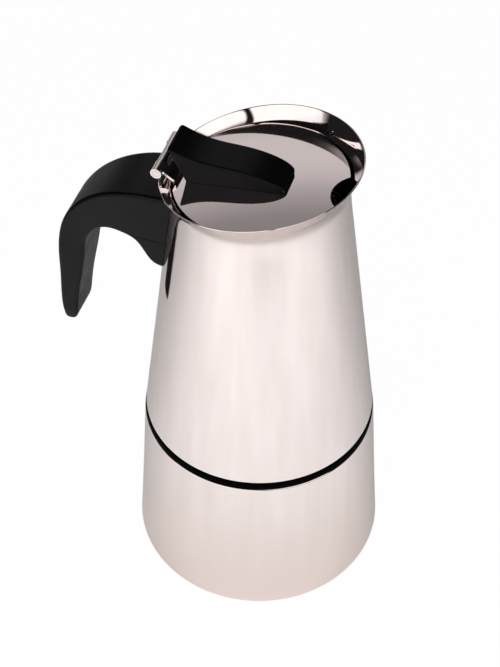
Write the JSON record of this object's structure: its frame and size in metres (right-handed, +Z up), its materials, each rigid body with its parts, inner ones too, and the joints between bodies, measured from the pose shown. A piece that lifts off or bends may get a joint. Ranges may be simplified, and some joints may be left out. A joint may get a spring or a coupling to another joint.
{
  "type": "moka pot",
  "caption": "Tall steel stovetop coffee maker with a conical upper vessel, slanted flared pouring rim, hinged flat lid with black lever and a black hooked handle.",
  "frame": {"origin": "on the pot's axis at the level of the boiler's flat underside", "axes": "+Z up along the pot's axis, +X towards the pouring side, the handle and the lid's hinge at -X, the safety valve at +Y"},
  "size_m": [0.1202, 0.1045, 0.1812],
  "materials": {
    "polished_steel": "polished stainless steel",
    "plain_steel": "plain stainless steel",
    "black_plastic": "satin heat-proof moulding",
    "black_seal": "matt",
    "white_seal": "matt silicone",
    "valve_brass": "turned"
  },
  "bodies": {
    "boiler": {"boiler_shell": "polished_steel", "boiler_neck": "polished_steel", "valve_body": "valve_brass", "valve_cap": "valve_brass", "valve_spring": "plain_steel", "valve_washer": "white_seal", "valve_nut": "valve_brass"},
    "valve_pin": {"valve_stem": "valve_brass"},
    "funnel": {"funnel_cup": "plain_steel", "funnel_stem": "plain_steel", "funnel_screen": "plain_steel"},
    "seam": {"seam_ring": "black_seal"},
    "seal": {"gasket": "white_seal", "filter_plate": "plain_steel"},
    "collector": {"collector_shell": "polished_steel", "thread_ring": "plain_steel", "collector_floor": "plain_steel", "riser_column": "plain_steel", "riser_cap": "plain_steel", "handle_bracket": "plain_steel", "handle_cover": "black_plastic", "handle": "black_plastic", "handle_screw": "plain_steel", "hinge_pin": "polished_steel", "hinge_bracket": "polished_steel"},
    "lid": {"lid_disc": "polished_steel", "lid_strap": "polished_steel", "knob": "black_plastic", "knob_screws": "plain_steel", "knob_washers": "plain_steel"}
  },
  "joints": [
    {"name": "collector_lift", "type": "slide", "parent": "boiler", "child": "seam", "axis": [0, 0, 1], "range_m": [0, 0.16]},
    {"name": "screw_rise", "type": "slide", "parent": "seam", "child": "seal", "axis": [0, 0, 1], "range_m": [0, 0.0061]},
    {"name": "collector_turn", "type": "hinge", "parent": "seal", "child": "collector", "pos_m": [0, 0, 0.0681], "axis": [0, 0, 1], "range_deg": [0, 540]},
    {"name": "lid_hinge", "type": "hinge", "parent": "collector", "child": "lid", "pos_m": [-0.0316, 0, 0.1733], "axis": [0, -1, 0], "range_deg": [0, 110]},
    {"name": "funnel_lift", "type": "slide", "parent": "boiler", "child": "funnel", "axis": [0, 0, 1], "range_m": [0, 0.0755]},
    {"name": "valve_relief", "type": "slide", "parent": "boiler", "child": "valve_pin", "axis": [0, 1, 0], "range_m": [0, 0.0012], "stiffness_N_per_m": 2000, "springref_m": -0.002, "deforming": ["valve_spring"]}
  ],
  "couplings": [
    {"joint": "screw_rise", "follows": "collector_turn", "m_per_rad": 0.00063662},
    {"joint": "funnel_lift", "follows": "collector_lift", "ratio": 0.47}
  ]
}
